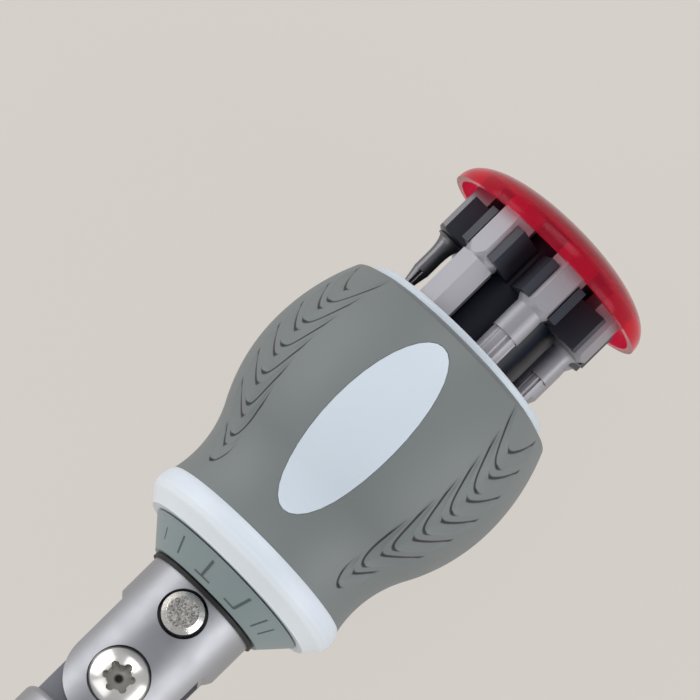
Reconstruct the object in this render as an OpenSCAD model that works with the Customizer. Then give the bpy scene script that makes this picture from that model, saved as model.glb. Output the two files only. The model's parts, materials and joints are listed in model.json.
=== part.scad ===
// Ball-handled ratcheting screwdriver: a folding head on a ratchet, and a pull-out magazine of seven bits.
// The tool lies along X with its tip towards +X and its button upwards.
// The origin is the middle of the socket's mouth.

/* [Grip] */
// How far the ball grip bulges past its top corner
belly_bulge = 3.4; // [2.8:0.1:4]
// From the handle's mouth to the grip's fattest place
belly_z = 18; // [17:0.1:19]
// Width of the rubber's slope between the lip and the grip's top corner
shoulder_w = 2.6; // [2.2:0.1:3]
// From the mouth to the grip's top corner
shoulder_z = 2.1; // [2:0.1:2.4]
// Cover of core and rubber over the ratchet's cup at the waist
neck_cover = 3.75; // [3.7:0.05:4]
// From the waist to the white ring
neck_to_ring = 4.4; // [4:0.1:5]
// Thickness of the rubber
rubber_t = 1.5; // [1.4:0.05:1.6]
// Half the width of the oval thumb pad
pad_half_w = 6.8; // [5:0.1:8]
// Half the length of the oval thumb pad
pad_half_l = 18.7; // [14:0.1:19]
// From the mouth to the middle of the thumb pad
pad_z = 23.6; // [23:0.1:24]

/* [Handle core] */
// Height of the lip above the rubber
lip_h = 1.2; // [1:0.1:1.4]
// Wall of the lip
lip_wall = 1.05; // [0.9:0.05:1.1]
// How much deeper the well is than a bit is long
well_spare = 11; // [10.5:0.1:12]
// Room round the bits in the well's lower part
well_room = 0.425; // [0.4:0.025:0.6]
// Widening of the well's upper part, for the clips
well_ledge = 0.75; // [0.7:0.05:0.9]
// Depth of the well's wide upper part
well_step = 11; // [10:0.5:12]
// Thickness of the well's floor
floor_t = 2.3; // [2:0.1:2.4]
// Radius of the guide post
post_r = 5.1; // [4.8:0.05:5.2]

/* [Magazine] */
// Room between the cap's rim and the lip
cap_play = 0.2; // [0.15:0.05:0.4]
// Height of the cap's dome
cap_h = 7.5; // [7:0.1:9]
// Thickness of the cap's wall at the rim
cap_wall = 1.25; // [1.1:0.05:1.25]
// Thickness of the dome at its middle
cap_top_t = 3; // [2:0.1:3]
// How far the bits' tips stay in the mouth when the magazine is drawn out
bit_in_mouth = 1.2; // [0.8:0.05:1.5]
// Radius of the column
column_r = 10.3; // [10:0.05:10.4]
// Bore of the column
column_bore_r = 6.3; // [6.2:0.05:6.4]
// How far the column reaches into the handle
column_in = 8; // [7.5:0.1:9]
// Thickness of the inner lip at the column's foot
column_lip_t = 2.5; // [2:0.1:3]
// Number of bits
bit_count = 7; // [7:1:7]
// Wall between a bit and the column
bit_seat = 0.325; // [0.3:0.025:0.4]
// Turn of the first bit from the thumb pad, in degrees
bit_turn = 20; // [0:1:51]
// Height of the clips
clip_h = 7.4; // [6:0.1:8]
// Gap between the cap's rim and the clips
clip_gap = 0.75; // [0.5:0.05:1]
// Reach of the clips' arms past the middle of a bit
clip_reach = 2.5; // [2.2:0.1:2.7]
// Half the width of a clip
clip_half_w = 4.2; // [4.1:0.05:4.5]
// Half the width of a clip's mouth
clip_mouth_half = 2.6; // [2.4:0.05:2.8]

/* [Bits] */
// Size of the hex shanks across flats
hex_af = 6.35; // [6.2:0.05:6.35]
// Length of a bit
bit_l = 25; // [24:0.5:25]
// Share of a bit's length that is its hex shank
shank_share = 0.512; // [0.48:0.004:0.52]
// How far the bits stand inside the cap
bit_in_cap = 3.65; // [3:0.05:3.7]
// Radius of the large six-lobe tip
lobe_tip_r = 2.5; // [2:0.05:2.7]
// Radius of the small six-lobe tip
small_tip_r = 1.35; // [1.1:0.05:1.6]
// Side of the square tip
square_tip = 3.4; // [2.8:0.1:3.6]
// Thickness of the flat blade at its edge
blade_t = 1; // [0.8:0.1:1.2]

/* [Ratchet] */
// Outer radius of the ratchet's steel cup
cup_r = 15; // [14.9:0.05:15.1]
// Wall of the cup
cup_wall = 1.7; // [1.6:0.05:1.8]
// Thickness of the cup's floor and of the bearing plate
plate_t = 2.5; // [2.3:0.1:2.6]
// Number of teeth on the gear
gear_teeth = 24; // [24:12:24]
// Tip radius of the gear as a share of the cup's bore
gear_share = 0.541; // [0.535:0.001:0.545]
// Width of the gear along the spindle
gear_w = 6.5; // [6:0.1:6.6]
// Radius of the spindle in the gear and the plate, as a share of the cup's bore
spindle_share = 0.376; // [0.36:0.002:0.38]
// Radius of the spindle's end, as a share of the cup's bore
journal_share = 0.264; // [0.24:0.002:0.28]
// Thickness of the spindle's clip
clip_t = 0.8; // [0.6:0.05:1]
// Radius of the pawl's pin, as a share of the cup's bore
pin_share = 0.075; // [0.07:0.001:0.08]
// How far the pawl rocks from one end to the other, in degrees
pawl_rock = 18.8; // [18:0.1:19]
// Travel of the direction ring, in degrees
selector_turn = 40; // [30:1:44]

/* [Rings] */
// Height of the white ring
ring_h = 6.65; // [6.4:0.05:6.8]
// How far the white ring stands out past the waist
ring_out = 1.2; // [0.9:0.05:1.6]
// How far the white ring reaches over the ratchet's cup
ring_lap = 3.2; // [2.8:0.1:3.6]
// How far the direction ring's top stands out past the cup
selector_out = 1.1; // [0.6:0.1:1.4]
// Radius of the direction ring at its foot
selector_low_r = 11.8; // [11.3:0.1:12.5]
// Height of the direction ring
selector_h = 4.8; // [4.4:0.1:5.2]
// Thickness of the black washer
seal_t = 0.7; // [0.6:0.05:0.8]
// Radius of the black washer
seal_r = 11.2; // [10.8:0.1:11.6]

/* [Folding head] */
// Radius of the yoke
yoke_r = 10.65; // [10.5:0.05:11]
// Half the width of the yoke's ears
ear_half_w = 9.3; // [9.2:0.05:9.5]
// From the yoke's top to the pivot
pivot_from_top = 19.4; // [19.2:0.1:20]
// From the pivot back to the button
button_from_pivot = 14.85; // [14.6:0.05:14.9]
// Thickness of the tenon
tenon_t = 7.4; // [7:0.1:7.6]
// Radius of the tenon about the pivot
tenon_r = 8.7; // [8.5:0.05:8.8]
// Radius of the pivot screw's shank
pivot_r = 2.72; // [2.5:0.01:2.9]
// Radius of the pivot screw's head
screw_head_r = 5.22; // [5:0.02:5.3]
// Height of the pivot screw's head
screw_head_h = 3; // [2.6:0.1:3.2]
// Radius of the lock button
button_r = 3.65; // [3.4:0.05:3.8]
// Travel of the lock button
button_travel = 2.4; // [2.2:0.1:2.5]
// How far the button stands out of the yoke
button_out = 1.5; // [1.3:0.1:2]
// Radius of the lock plunger
plunger_r = 1.4; // [1.2:0.05:1.5]
// Depth of the tenon's notches
notch_depth = 1.1; // [1:0.05:1.1]
// Angle between the folding head's stops, in degrees
notch_step = 15; // [15:15:45]

/* [Shaft] */
// Radius of the shaft's collar
collar_r = 10.3; // [10:0.05:10.5]
// Length of the collar
collar_l = 8; // [7:0.5:9]
// Length of the taper
taper_l = 11; // [10:0.5:12]
// Outer radius of the bit holder
holder_r = 6; // [5.8:0.05:6.2]
// Bare length of the bit holder
holder_l = 28; // [24:1:34]
// Depth of the hex socket
socket_depth = 14; // [13:0.5:15]
// Radius of the magnet
magnet_r = 2.6; // [2.2:0.1:2.8]
// Length of the magnet
magnet_l = 3; // [2:0.5:4]

/* [Fits] */
// Gap between pieces that move past each other
gap = 0.3; // [0.25:0.01:0.3]
// Play of a shaft in its bearing
play = 0.04; // [0.03:0.01:0.05]
// Gap of a bit in its clip and in the socket
bit_gap = 0.05; // [0.04:0.01:0.06]

/* [Hidden] */
$fn = 64;
// Overrun of every cut past the face that it opens
over = 1;
// Straight steps in an oval and in a curved side
oval_steps = 36;
curve_steps = 24;
dome_steps = 18;
neck_steps = 6;

// Radii, from the column outwards, and in the ratchet from the cup inwards
bit_ring_r = column_r + hex_af / 2 + bit_seat;
clip_r = bit_ring_r + clip_reach;
well_low_r = bit_ring_r + hex_af / 2 + well_room;
well_r = well_low_r + well_ledge;
lip_r = well_r + lip_wall;
cap_r = lip_r + cap_play + cap_wall;
shoulder_r = lip_r + shoulder_w;
belly_r = shoulder_r + belly_bulge;
neck_r = cup_r + neck_cover;
ring_r = neck_r + ring_out;
selector_top_r = cup_r + selector_out;
cup_in_r = cup_r - cup_wall;
gear_r = cup_in_r * gear_share;
tooth_h = gear_r / 8;
spindle_r = cup_in_r * spindle_share;
journal_r = cup_in_r * journal_share;
pawl_pin_r = cup_in_r * pin_share;
pawl_hub_r = pawl_pin_r * 2;
pawl_at = cup_in_r - pawl_hub_r - gap;

// Stations along the axis, counted from the handle's mouth towards the tip
shank_l = bit_l * shank_share;
well_depth = bit_l + well_spare;
drawn_out = bit_l - bit_in_cap - bit_in_mouth;
rim_z = -drawn_out;
ceiling_z = rim_z - cap_h + cap_top_t;
bit_top_z = rim_z - bit_in_cap;
housing_z = well_depth + floor_t;
cup_floor_z = housing_z + plate_t;
gear_z = cup_floor_z + gap + clip_t;
plate_z = gear_z + gear_w + gap;
plate_end_z = plate_z + plate_t;
ring_z = plate_end_z - ring_lap;
neck_z = ring_z - neck_to_ring;
ring_end_z = ring_z + ring_h;
selector_z = ring_end_z + gap;
selector_end_z = selector_z + selector_h;
seal_z = selector_end_z + gap;
yoke_z = seal_z + seal_t;
pivot_z = yoke_z + pivot_from_top;
button_z = pivot_z - button_from_pivot;
collar_z = pivot_z + ear_half_w + gap * 2;
taper_z = collar_z + collar_l;
holder_z = taper_z + taper_l;
tip_z = holder_z + holder_l;

// The grip's side is one arc above the belly, and below it two arcs that meet in a smooth bend
upper_drop = belly_r - shoulder_r;
upper_rise = belly_z - shoulder_z;
upper_arc = (upper_rise ^ 2 + upper_drop ^ 2) / (2 * upper_drop);
bend = 2 * atan((belly_r - neck_r) / (neck_z - belly_z));
both_arcs = (neck_z - belly_z) / sin(bend);
belly_arc_share = 0.617;
belly_arc = both_arcs * belly_arc_share;
neck_arc = both_arcs - belly_arc;
bend_z = belly_z + belly_arc * sin(bend);

// Handle
lip_edge = lip_wall / 3;
lip_root_z = lip_h + rubber_t;
core_z = shoulder_z + rubber_t;
spigot_r = cup_r + rubber_t;
pad_gap = bit_gap;
pad_sink = bit_gap;
root_r = post_r - rubber_t;
post_head_r = column_bore_r - gap / 2;
post_head_z = lip_h;
post_head_h = column_lip_t;
post_ring_t = post_head_h / 2;

// Ratchet
ring_in_r = cup_in_r + gap * 2;
// The white ring's side: shares of its height, and of its radius there
ring_r_shares = [[0, 0.958], [0.07, 0.978], [0.18, 0.992], [0.32, 1], [0.5, 1], [0.66, 0.98], [0.82, 0.93],
    [1, 0.877]];
spindle_shoulder_r = spindle_r + plate_t / 2;
root_of_teeth = gear_r - tooth_h;
tooth_half_angle = 40;
tooth_side = 30;
tooth_tip = root_of_teeth + gap / 2;
tooth_back = gear_r + tooth_h;
// Room that the selector's finger keeps from the gear, as a share of the pawl's hub
finger_share = 0.8;
finger_in_r = cup_in_r - gap - pawl_hub_r * finger_share;
finger_angle = 16;
finger_play = 2;
skirt_z = plate_end_z + gap;
// Width of a pawl's arm on each side of its middle line, as shares of the hub
arm_back_share = 0.325;
arm_w_share = 0.975;
// Opening of the spindle's clip as a share of the journal's radius
clip_slot_share = 1.4;

// Folding head
slot_half = tenon_t / 2 + gap;
slot_root_z = pivot_z - tenon_r - gap * 2;
ear_step_z = pivot_z - ear_half_w - gap * 3;
ear_chamfer = yoke_r - ear_half_w;
seat_y = yoke_r - screw_head_h - pivot_r / 3;
button_bore_r = button_r + gap * 2;
stem_share = 0.77;
stem_r = button_r * stem_share;
waist_r = stem_r - button_travel / 2;
stem_foot_y = -stem_r - notch_depth;
button_step_y = stem_r + plunger_r;
bore_foot_y = stem_foot_y - button_travel - notch_depth;
button_top_y = yoke_r + button_out;
plunger_end_z = pivot_z - tenon_r + notch_depth - gap / 2;
plunger_cam_z = button_z + stem_r + gap;
notch_share = 0.9;
notch_w = plunger_r * notch_share;
tongue_w = notch_w - gap;
bush_share = 1.5;
bush_r = pivot_r * bush_share;
// The screw's recess as shares of its head: lobe radius, lobe distance and depth
lobe_share = 0.13;
lobe_at_share = 0.41;
recess_share = 0.7;
// The button's chamfer as a share of its radius, and the spring's two radii as shares of the stem
button_edge_share = 0.27;
spring_out_share = 0.85;
spring_in_share = 0.5;

// Shaft
collar_round = collar_r / 7;
holder_root_z = taper_z + notch_depth;
holder_edge = holder_r / 8;
holder_root_r = holder_r - holder_edge;
socket_floor_z = tip_z - socket_depth;
snap_z = tip_z - socket_depth / 3;
snap_t = notch_depth;
hex_r = hex_af / sqrt(3);
snap_in_r = hex_af / 2 - bit_gap * 2;
snap_out_r = hex_r + snap_t / 3;

function grip_r(z) =
    z < belly_z ? belly_r - upper_arc + sqrt(upper_arc ^ 2 - (z - belly_z) ^ 2) :
    z < bend_z ? belly_r - belly_arc + sqrt(belly_arc ^ 2 - (z - belly_z) ^ 2) :
    neck_r + neck_arc - sqrt(neck_arc ^ 2 - (neck_z - z) ^ 2);

// Points down the grip's side between two stations, set in by a thickness
function side(z0, z1, inset) =
    [for (i = [0:curve_steps]) let (z = z0 + (z1 - z0) * i / curve_steps) [grip_r(z) - inset, z]];

function flip(points) = [for (i = [len(points) - 1:-1:0]) points[i]];

// Points of a dome from its rim to its middle: a superellipse, boxier with a higher power
function dome(r, h, power, from_z) =
    [for (i = [0:dome_steps]) let (a = 90 * i / dome_steps)
        [r * cos(a) ^ (2 / power), from_z - h * sin(a) ^ (2 / power)]];

function oval(half_w, half_l) =
    [for (i = [0:oval_steps - 1]) let (a = 360 * i / oval_steps) [half_w * cos(a), half_l * sin(a)]];

// Lays a piece that is drawn along Z, with the button towards Y, into the tool's frame
module on_axis() {
    rotate([90, 0, 90])
        translate([0, 0, -tip_z])
            children();
}

module turned(points) {
    rotate_extrude()
        polygon(points);
}

module tube(r_out, r_in, z0, z1) {
    translate([0, 0, z0])
        difference() {
            cylinder(r = r_out, h = z1 - z0);
            translate([0, 0, -over])
                cylinder(r = r_in, h = z1 - z0 + over * 2);
        }
}

// A plate cut to a flat outline in the folding plane, from one depth to another
module plate_in_fold(y0, y1) {
    translate([0, y1, 0])
        rotate([90, 0, 0])
            linear_extrude(y1 - y0)
                children();
}

// A round bar across the tool at a station
module cross_bar(r, y0, y1, z) {
    translate([0, y1, z])
        rotate([90, 0, 0])
            cylinder(r = r, h = y1 - y0);
}

module arc_block(r0, r1, a0, a1, z0, z1) {
    rotate([0, 0, a0])
        rotate_extrude(angle = a1 - a0)
            translate([r0, z0])
                square([r1 - r0, z1 - z0]);
}

// The prism of the two thumb pads, front and back
module pad_prism(grow) {
    plate_in_fold(-belly_r - over, belly_r + over)
        translate([0, pad_z])
            polygon(oval(pad_half_w + grow, pad_half_l + grow));
}

module handle_core() {
    pad_z0 = pad_z - pad_half_l - over / 2;
    pad_z1 = pad_z + pad_half_l + over / 2;
    color("#d3dbe6")
        on_axis() {
            turned(concat(
                [[well_r, 0], [lip_r - lip_edge, 0], [lip_r, lip_edge], [lip_r, lip_root_z]],
                side(core_z, ring_z, rubber_t),
                [[spigot_r, ring_z], [spigot_r, plate_end_z], [cup_r, plate_end_z], [cup_r, housing_z],
                    [root_r, housing_z], [root_r, well_depth], [well_low_r, well_depth],
                    [well_low_r, well_step], [well_r, well_step - lip_wall]]));
            intersection() {
                turned(concat(
                    side(pad_z0, pad_z1, pad_sink),
                    flip(side(pad_z0, pad_z1, rubber_t + lip_edge))));
                pad_prism(-pad_gap);
            }
        }
}

module grip() {
    color("#8a908d")
        on_axis()
            difference() {
                turned(concat(
                    [[lip_r, lip_h]],
                    side(shoulder_z, ring_z, 0),
                    flip(side(core_z, ring_z, rubber_t)),
                    [[lip_r, lip_root_z]]));
                pad_prism(0);
            }
}

module collar_ring() {
    color("#dfe3ea")
        on_axis()
            turned(concat(
                [for (share = ring_r_shares) [ring_r * share[1], ring_z + ring_h * share[0]]],
                [[ring_in_r, ring_end_z], [ring_in_r, plate_end_z], [spigot_r, plate_end_z],
                    [spigot_r, ring_z]]));
}

module guide_post() {
    groove_z = post_head_z + (post_head_h - post_ring_t) / 2;
    color("#5b5f66")
        on_axis()
            turned([[0, post_head_z], [post_head_r - lip_edge, post_head_z],
                [post_head_r, post_head_z + lip_edge],
                [post_head_r, groove_z], [post_head_r - post_ring_t, groove_z],
                [post_head_r - post_ring_t, groove_z + post_ring_t], [post_head_r, groove_z + post_ring_t],
                [post_head_r, post_head_z + post_head_h], [post_r, post_head_z + post_head_h],
                [post_r, well_depth], [root_r, well_depth], [root_r, housing_z], [0, housing_z]]);
}

module post_ring() {
    color("#1d1d1f")
        on_axis()
            translate([0, 0, post_head_z + post_head_h / 2])
                rotate_extrude()
                    translate([column_bore_r - play - post_ring_t / 2, 0])
                        circle(r = post_ring_t / 2);
}

module ratchet_housing() {
    color("#85898f")
        on_axis()
            difference() {
                turned([[journal_r + play, housing_z], [cup_r, housing_z], [cup_r, plate_end_z],
                    [cup_in_r, plate_end_z], [cup_in_r, cup_floor_z], [journal_r + play, cup_floor_z]]);
                translate([0, pawl_at, housing_z - over])
                    cylinder(r = pawl_pin_r, h = plate_t + over * 2);
            }
}

module bearing_plate() {
    color("#a3a7ac")
        on_axis()
            difference() {
                tube(cup_in_r, spindle_r + play, plate_z, plate_end_z);
                translate([0, pawl_at, plate_z - over])
                    cylinder(r = pawl_pin_r, h = plate_t + over * 2);
                arc_block(finger_in_r - gap, cup_in_r + over,
                    270 - selector_turn / 2 - finger_angle / 2 - finger_play,
                    270 + selector_turn / 2 + finger_angle / 2 + finger_play,
                    plate_z - over, plate_end_z + over);
            }
}

module pawl_pin() {
    color("#c2c5c9")
        on_axis()
            translate([0, pawl_at, housing_z])
                cylinder(r = pawl_pin_r, h = plate_end_z - housing_z);
}

// One arm of the rocker pawl with its tooth in the gear, on the side of positive X
module pawl_arm() {
    tooth_half_w = (tooth_back - tooth_tip) * tan(tooth_half_angle);
    block = [tooth_back * sin(tooth_side), tooth_back * cos(tooth_side)];
    reach = [block[0], block[1] - pawl_at];
    rotate(-tooth_side)
        polygon([[0, tooth_tip], [tooth_half_w, tooth_back], [tooth_half_w, tooth_back + tooth_h * 2],
            [-tooth_half_w, tooth_back + tooth_h * 2], [-tooth_half_w, tooth_back]]);
    translate([0, pawl_at])
        rotate(atan2(reach[1], reach[0]))
            translate([0, -pawl_hub_r * arm_back_share])
                square([norm(reach), pawl_hub_r * arm_w_share]);
}

module about_pawl_pin(angle) {
    translate([0, pawl_at])
        rotate(angle)
            translate([0, -pawl_at])
                children();
}

module pawl() {
    color("#6d7177")
        on_axis()
            translate([0, 0, gear_z])
                linear_extrude(gear_w)
                    difference() {
                        union() {
                            pawl_arm();
                            about_pawl_pin(-pawl_rock)
                                mirror([1, 0])
                                    pawl_arm();
                            translate([0, pawl_at])
                                circle(r = pawl_hub_r);
                        }
                        translate([0, pawl_at])
                            circle(r = pawl_pin_r + play);
                    }
}

module selector_ring() {
    finger_from = 270 - selector_turn / 2 - finger_angle / 2;
    bore_r = spindle_shoulder_r + gap;
    color("#8f9a98")
        on_axis() {
            turned([[bore_r, skirt_z], [cup_in_r, skirt_z], [cup_in_r, selector_z],
                [selector_top_r, selector_z], [selector_low_r, selector_end_z], [bore_r, selector_end_z]]);
            arc_block(finger_in_r, cup_in_r - gap, finger_from, finger_from + finger_angle, plate_z + gap,
                skirt_z + over);
        }
}

module drive_gear() {
    pitch = 360 / gear_teeth;
    color("#9a9ea3")
        on_axis()
            translate([0, 0, gear_z])
                linear_extrude(gear_w)
                    difference() {
                        polygon([for (i = [0:gear_teeth * 2 - 1])
                            let (a = i * pitch / 2, r = i % 2 == 0 ? root_of_teeth : gear_r)
                                [r * cos(a), r * sin(a)]]);
                        circle(r = spindle_r);
                    }
}

module spindle_clip() {
    color("#3c3e42")
        on_axis()
            difference() {
                tube(root_of_teeth, journal_r, gear_z - clip_t, gear_z);
                translate([0, -journal_r * clip_slot_share / 2, gear_z - clip_t - over])
                    cube([gear_r + over, journal_r * clip_slot_share, clip_t + over * 2]);
            }
}

module seal_ring() {
    color("#141416")
        on_axis()
            tube(seal_r, spindle_shoulder_r, seal_z, yoke_z);
}

// The yoke's outline from the front: a body, stepped sides, and ears that are round about the pivot
module yoke_outline() {
    polygon([[-yoke_r, yoke_z], [yoke_r, yoke_z], [yoke_r, ear_step_z - ear_chamfer],
        [ear_half_w, ear_step_z], [ear_half_w, pivot_z], [-ear_half_w, pivot_z],
        [-ear_half_w, ear_step_z], [-yoke_r, ear_step_z - ear_chamfer]]);
    translate([0, pivot_z])
        circle(r = ear_half_w);
}

module yoke() {
    color("#b9bbc1")
        on_axis()
            difference() {
                union() {
                    intersection() {
                        plate_in_fold(-yoke_r, yoke_r)
                            yoke_outline();
                        translate([0, 0, yoke_z])
                            cylinder(r = yoke_r, h = pivot_from_top + ear_half_w);
                    }
                    turned([[0, housing_z + gap], [journal_r, housing_z + gap], [journal_r, gear_z],
                        [spindle_r, gear_z], [spindle_r, plate_end_z + gap],
                        [spindle_shoulder_r, plate_end_z + gap], [spindle_shoulder_r, yoke_z + over],
                        [0, yoke_z + over]]);
                }
                plate_in_fold(-slot_half, slot_half)
                    translate([-yoke_r - over, slot_root_z])
                        square([(yoke_r + over) * 2, pivot_from_top + ear_half_w]);
                cross_bar(button_bore_r, button_step_y, yoke_r + over, button_z);
                cross_bar(stem_r + play, bore_foot_y, button_step_y + over, button_z);
                translate([0, 0, button_z])
                    cylinder(r = plunger_r + play, h = slot_root_z - button_z + over);
                cross_bar(pivot_r + play, 0, yoke_r, pivot_z);
                cross_bar(pivot_r - gap, -yoke_r - over, over, pivot_z);
                cross_bar(screw_head_r + gap / 2, seat_y, yoke_r + over, pivot_z);
            }
}

module pivot_screw() {
    lobe_r = screw_head_r * lobe_share;
    lobe_at = screw_head_r * lobe_at_share;
    edge = screw_head_r / 15;
    top_y = seat_y + screw_head_h;
    recess_y = top_y - screw_head_h * recess_share;
    color("#c9c7c0")
        on_axis()
            difference() {
                translate([0, 0, pivot_z])
                    rotate([-90, 0, 0])
                        turned([[0, -yoke_r + gap * 2], [pivot_r - gap - edge, -yoke_r + gap * 2],
                            [pivot_r - gap, -yoke_r + gap * 2 + edge], [pivot_r - gap, -slot_half],
                            [pivot_r, -slot_half], [pivot_r, seat_y], [screw_head_r, seat_y],
                            [screw_head_r, top_y - edge], [screw_head_r - edge, top_y], [0, top_y]]);
                cross_bar(lobe_at, recess_y, top_y + over, pivot_z);
                for (i = [0:5])
                    translate([lobe_at * cos(60 * i + 30), 0, lobe_at * sin(60 * i + 30)])
                        cross_bar(lobe_r, recess_y, top_y + over, pivot_z);
            }
}

module lock_button() {
    edge = button_r * button_edge_share;
    color("#77736c")
        on_axis()
            translate([0, 0, button_z])
                rotate([-90, 0, 0])
                    turned([[0, stem_foot_y], [stem_r, stem_foot_y], [stem_r, 0], [waist_r, button_travel],
                        [waist_r, button_step_y + button_travel + gap],
                        [button_r, button_step_y + button_travel + gap],
                        [button_r, button_top_y - edge], [button_r - edge, button_top_y], [0, button_top_y]]);
}

module lock_spring() {
    color("#9fa3a8")
        on_axis()
            translate([0, 0, button_z])
                rotate([-90, 0, 0])
                    tube(stem_r * spring_out_share, stem_r * spring_in_share, bore_foot_y,
                        stem_foot_y - play);
}

module lock_plunger() {
    nose_r = plunger_r / 8;
    nose_l = plunger_r - nose_r;
    tongue_z = slot_root_z - gap;
    color("#8b8f95")
        on_axis() {
            turned([[0, plunger_cam_z], [nose_r, plunger_cam_z], [plunger_r, plunger_cam_z + nose_l],
                [plunger_r, tongue_z], [0, tongue_z]]);
            intersection() {
                translate([0, 0, tongue_z - gap])
                    cylinder(r = plunger_r, h = plunger_end_z - tongue_z + gap);
                plate_in_fold(-plunger_r, plunger_r)
                    translate([-tongue_w / 2, tongue_z - gap])
                        square([tongue_w, plunger_end_z - tongue_z + gap]);
            }
        }
}

// The tenon from the front: a notched disc about the pivot, and a neck down to the collar
module tenon_outline() {
    difference() {
        union() {
            translate([0, pivot_z])
                circle(r = tenon_r);
            translate([-tenon_r, pivot_z])
                square([tenon_r * 2, collar_z - pivot_z + over]);
        }
        for (a = [-90:notch_step:90])
            translate([0, pivot_z])
                rotate(a)
                    translate([-notch_w / 2, -tenon_r - over])
                        square([notch_w, notch_depth + over]);
    }
}

module knuckle() {
    land = holder_edge;
    color("#b3b5bb")
        on_axis()
            difference() {
                union() {
                    plate_in_fold(-tenon_t / 2, tenon_t / 2)
                        tenon_outline();
                    turned(concat(
                        [[0, collar_z]],
                        [for (a = [-90:15:0]) [collar_r - collar_round + collar_round * cos(a),
                            collar_z + collar_round + collar_round * sin(a)]],
                        [[collar_r, taper_z], [holder_r + land * 2, holder_z - land * 2],
                            [holder_r + land * 2, holder_z - land], [holder_r + land, holder_z],
                            [0, holder_z]]));
                }
                cross_bar(bush_r, -tenon_t / 2 - over, tenon_t / 2 + over, pivot_z);
                translate([0, 0, holder_root_z])
                    cylinder(r = holder_root_r, h = holder_z - holder_root_z + over);
            }
}

module pivot_bush() {
    color("#b08d4f")
        on_axis()
            difference() {
                cross_bar(bush_r, -tenon_t / 2, tenon_t / 2, pivot_z);
                cross_bar(pivot_r + play, -tenon_t / 2 - over, tenon_t / 2 + over, pivot_z);
            }
}

module hex_prism(af, z0, z1) {
    translate([0, 0, z0])
        cylinder(r = af / sqrt(3), h = z1 - z0, $fn = 6);
}

module bit_holder() {
    color("#c5c7cc")
        on_axis()
            difference() {
                turned([[0, holder_root_z], [holder_root_r, holder_root_z], [holder_root_r, holder_z],
                    [holder_r, holder_z], [holder_r, tip_z - holder_edge],
                    [holder_r - holder_edge, tip_z], [0, tip_z]]);
                hex_prism(hex_af + bit_gap * 2, socket_floor_z, tip_z + over);
                translate([0, 0, socket_floor_z - magnet_l])
                    cylinder(r = magnet_r, h = magnet_l + over);
                translate([0, 0, snap_z])
                    cylinder(r = snap_out_r + bit_gap, h = snap_t + bit_gap);
                translate([0, 0, tip_z - holder_edge])
                    cylinder(r1 = hex_af / 2, r2 = hex_r + holder_edge / 2, h = holder_edge + bit_gap);
            }
}

module socket_magnet() {
    color("#4d5056")
        on_axis()
            translate([0, 0, socket_floor_z - magnet_l])
                cylinder(r = magnet_r, h = magnet_l);
}

module socket_ring() {
    color("#2f3135")
        on_axis()
            difference() {
                tube(snap_out_r, snap_in_r, snap_z + bit_gap / 2, snap_z + snap_t + bit_gap / 2);
                translate([0, -snap_t / 2, snap_z - over])
                    cube([snap_out_r + over, snap_t, snap_t + over * 2]);
            }
}

module cap() {
    dome_power = 2.4;
    inner_power = 5;
    seat_r = column_r + bit_seat;
    inside = dome(cap_r - cap_wall, cap_h - cap_top_t, inner_power, rim_z);
    color("#d0202f")
        on_axis()
            union() {
                turned(concat(
                    dome(cap_r, cap_h, dome_power, rim_z),
                    [[0, ceiling_z], [seat_r, ceiling_z]],
                    flip([for (p = inside) if (p[0] > seat_r) p])));
                translate([0, 0, ceiling_z - gap])
                    cylinder(r = column_bore_r, h = cap_top_t + gap);
            }
}

// Places a piece at one station of the ring of bits, with X pointing out of the ring
module at_bit(index) {
    rotate([0, 0, 90 - bit_turn - 360 * index / bit_count])
        translate([bit_ring_r, 0, 0])
            children();
}

// A clip's block before its pocket is cut, and the pocket with its mouth
module clip_block() {
    translate([column_r - bit_ring_r - lip_wall, -clip_half_w, rim_z + clip_gap])
        cube([clip_r - column_r + lip_wall, clip_half_w * 2, clip_h]);
}

module clip_pocket() {
    rotate([0, 0, 30])
        hex_prism(hex_af + bit_gap * 2, rim_z + clip_gap - over, rim_z + clip_gap + clip_h + over);
    translate([0, -clip_mouth_half, rim_z + clip_gap - over])
        cube([clip_r, clip_mouth_half * 2, clip_h + over * 2]);
}

module bit_carousel() {
    color("#2b2d31")
        on_axis()
            difference() {
                union() {
                    turned([[column_bore_r, ceiling_z], [column_r, ceiling_z],
                        [column_r, column_in - lip_wall], [column_r - lip_wall, column_in],
                        [post_r + bit_gap * 2, column_in], [post_r + bit_gap * 2, column_in - column_lip_t],
                        [column_bore_r, column_in - column_lip_t]]);
                    for (i = [0:bit_count - 1])
                        at_bit(i)
                            clip_block();
                }
                for (i = [0:bit_count - 1])
                    at_bit(i)
                        clip_pocket();
            }
}

// A bit: a chamfered hex shank, drawn from its top end, a hollow curve to its neck, and the tip that
// is handed in
module bit(index, neck_r, neck_from, tone = "#a9aaae") {
    chamfer = hex_r - hex_af / 2 + bit_gap;
    curve_r = hex_af / 2 - chamfer;
    color(tone)
        on_axis()
            at_bit(index)
                translate([0, 0, bit_top_z]) {
                    intersection() {
                        rotate([0, 0, 30])
                            hex_prism(hex_af, 0, shank_l);
                        turned([[0, 0], [hex_r - chamfer * 2, 0], [hex_r, chamfer],
                            [hex_r, shank_l - chamfer * 3], [neck_r, shank_l], [0, shank_l]]);
                    }
                    turned(concat(
                        [[0, shank_l - chamfer]],
                        [for (i = [0:neck_steps]) let (a = 90 * i / neck_steps)
                            [curve_r + (neck_r - curve_r) * sin(a),
                                shank_l - chamfer + (neck_from + chamfer) * (1 - cos(a))]],
                        [[neck_r, bit_l - shank_l / 2], [0, bit_l - shank_l / 2]]));
                    children();
                }
}

tip_from = bit_l - shank_l / 2 - bit_gap;
// Shares of a six-lobe tip's radius: the place and the radius of the hollows between its lobes
hollow_at_share = 1.12;
hollow_share = 0.3;
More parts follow.
